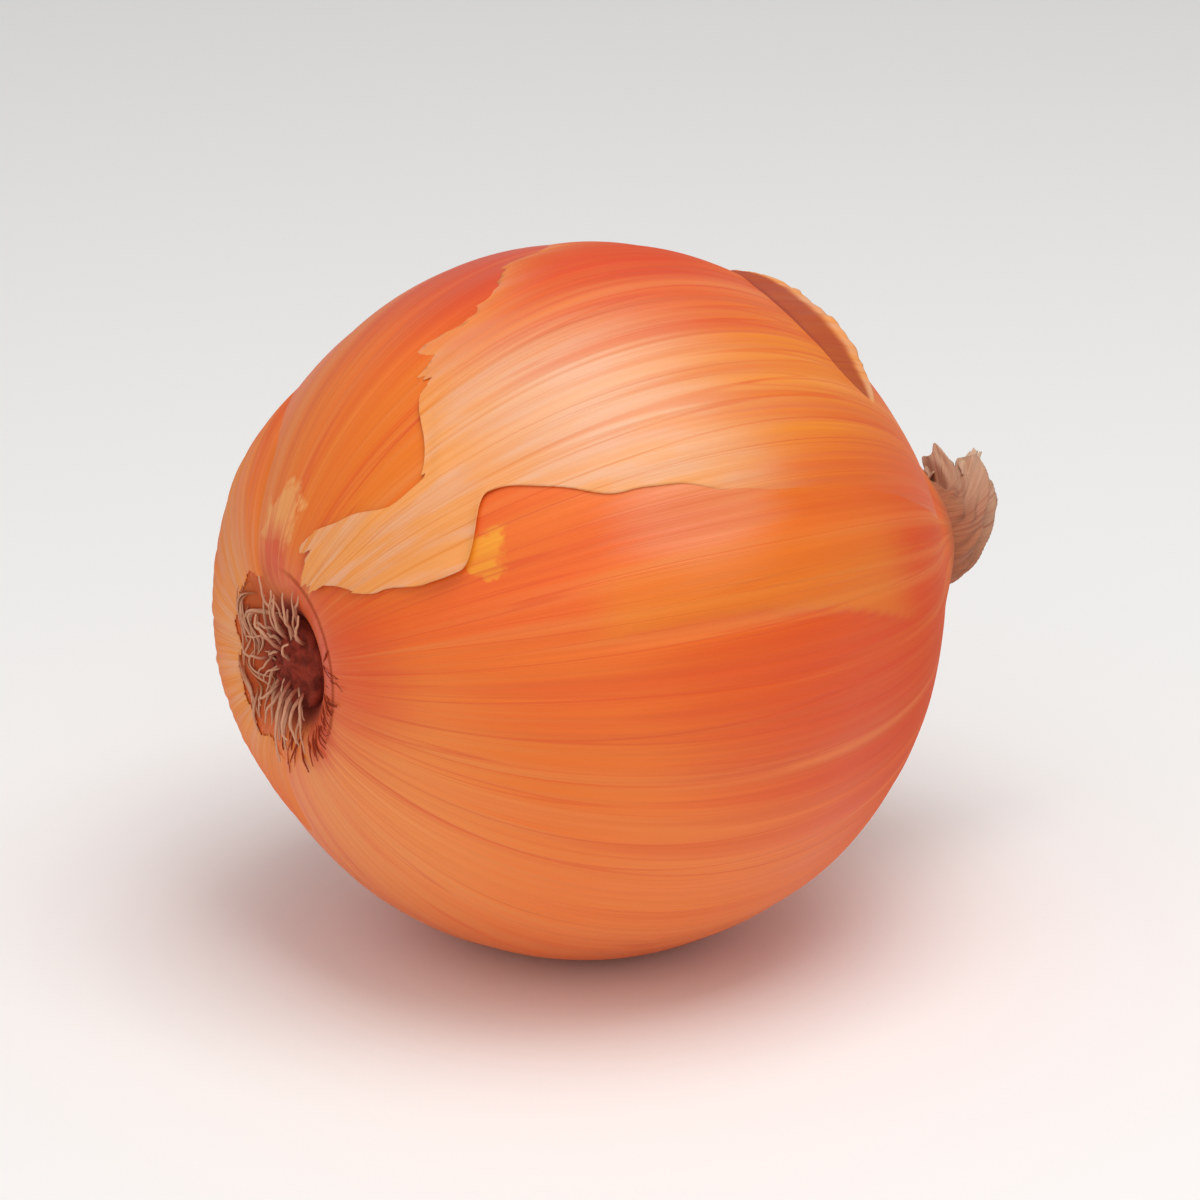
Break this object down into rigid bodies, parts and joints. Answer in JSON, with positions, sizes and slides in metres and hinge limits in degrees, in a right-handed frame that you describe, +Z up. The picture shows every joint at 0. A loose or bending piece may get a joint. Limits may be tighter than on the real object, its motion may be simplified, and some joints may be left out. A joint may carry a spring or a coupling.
{
  "type": "onion",
  "caption": "Whole yellow globe onion lying on its side, with torn papery skin, a matted root plate at one end and a withered, pleated neck at the other.",
  "frame": {"origin": "middle of the flat spot that the onion rests on, under the middle of the bulb", "axes": "+Z up from the flat spot, +X along the bulb's axis from the root plate to the neck, -Y the side that the picture shows"},
  "size_m": [0.098, 0.0784, 0.078],
  "materials": {
    "copper_skin": "satin orange-brown dry onion skin, tight over the bulb, with fine veins from root to neck",
    "golden_skin": "paler golden papery skin, torn and lifting at its edges",
    "dry_root": "matt corky root plate and straw-coloured dead roots",
    "dry_neck": "matt straw-brown dead leaf sheaths, pleated and frayed"
  },
  "bodies": {
    "root": {"bulb": "copper_skin", "outer_skin": "golden_skin", "skin_curl": "golden_skin", "root_collar": "golden_skin", "root_tuft": "dry_root", "neck": "dry_neck"}
  },
  "joints": []
}
